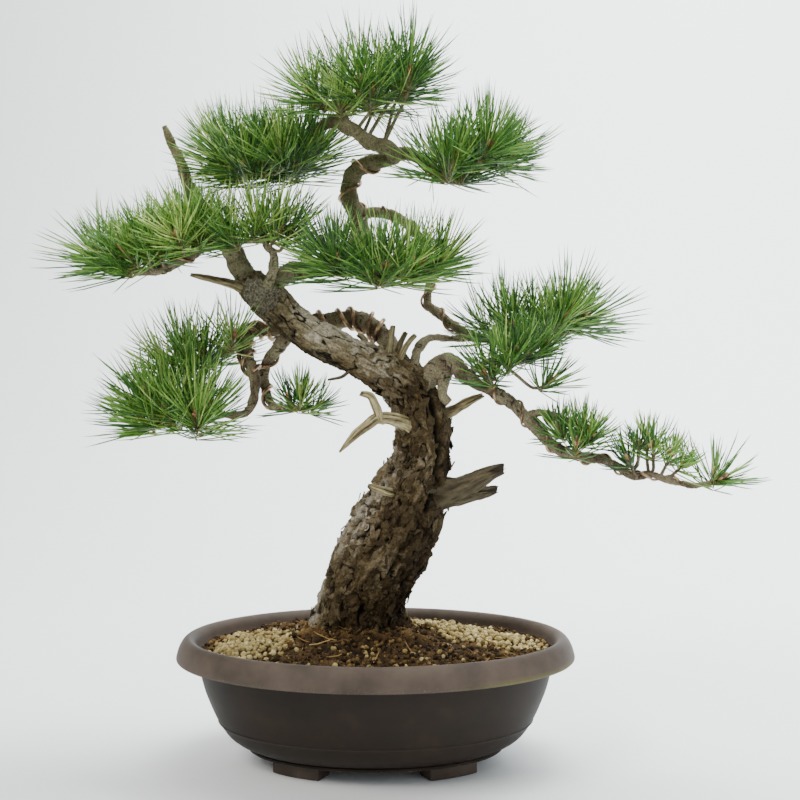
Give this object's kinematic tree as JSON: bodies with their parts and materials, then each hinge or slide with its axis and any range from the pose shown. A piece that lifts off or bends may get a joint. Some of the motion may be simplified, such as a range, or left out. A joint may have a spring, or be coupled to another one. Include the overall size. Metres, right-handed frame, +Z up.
{
  "type": "bonsai pine tree in a pot",
  "caption": "Informal-upright pine bonsai with wired branches, bare deadwood stubs and needle foliage pads, planted in an oval matte brown training pot.",
  "frame": {"origin": "the middle of the whole plant's footprint box, on the surface that the pot's four feet stand on; the pot's own centre is 24 mm to the -X side of it", "axes": "+Z up; the front of the tree faces -Y; the long side of the oval pot and the spread of the branches lie along X, with the cascading branch at +X"},
  "size_m": [0.6787, 0.314, 0.7279],
  "materials": {
    "pot_plastic": "matte",
    "mesh_plastic": "matte",
    "soil": "matte",
    "grit": "matte",
    "bark": "matte",
    "dead_wood": "matte",
    "training_wire": "satin",
    "needles": "satin"
  },
  "bodies": {
    "root": {"pot": "pot_plastic", "drainage_mesh_left": "mesh_plastic", "drainage_mesh_right": "mesh_plastic", "soil": "soil", "grit_left": "grit", "grit_right": "grit", "trunk": "bark", "leader": "bark", "crown_stem": "bark", "crown_top_branch": "bark", "crown_left_branch": "bark", "crown_right_branch": "bark", "arching_branch": "bark", "centre_branch": "bark", "centre_left_branch": "bark", "upper_left_branch": "bark", "back_branch": "bark", "left_back_twig": "bark", "inner_left_branch": "bark", "right_branch": "bark", "right_lower_twig": "bark", "cascade_branchlet": "bark", "dark_branch": "bark", "hooked_stub": "bark", "forked_jin": "dead_wood", "upper_right_jin": "dead_wood", "split_jin": "dead_wood", "lower_left_jin": "dead_wood", "left_spike": "dead_wood", "rear_stub": "dead_wood", "middle_stub": "dead_wood", "front_stub": "dead_wood", "thin_twig": "dead_wood", "knot": "dead_wood", "wire_back_1": "training_wire", "wire_back_2": "training_wire", "wire_inner_left": "training_wire", "wire_crown_stem": "training_wire", "wire_crown_right": "training_wire", "wire_arching": "training_wire", "wire_upper_left": "training_wire", "wire_right": "training_wire", "foliage_upper_left": "needles", "foliage_crown_left": "needles", "foliage_crown_top": "needles", "foliage_crown_right": "needles", "foliage_centre": "needles", "foliage_centre_left": "needles", "foliage_right_upper": "needles", "foliage_right_lower": "needles", "foliage_cascade_inner": "needles", "foliage_cascade_middle": "needles", "foliage_cascade_tip": "needles", "foliage_lower_left_front": "needles", "foliage_lower_left_back": "needles", "foliage_lower_inner": "needles"}
  },
  "joints": []
}
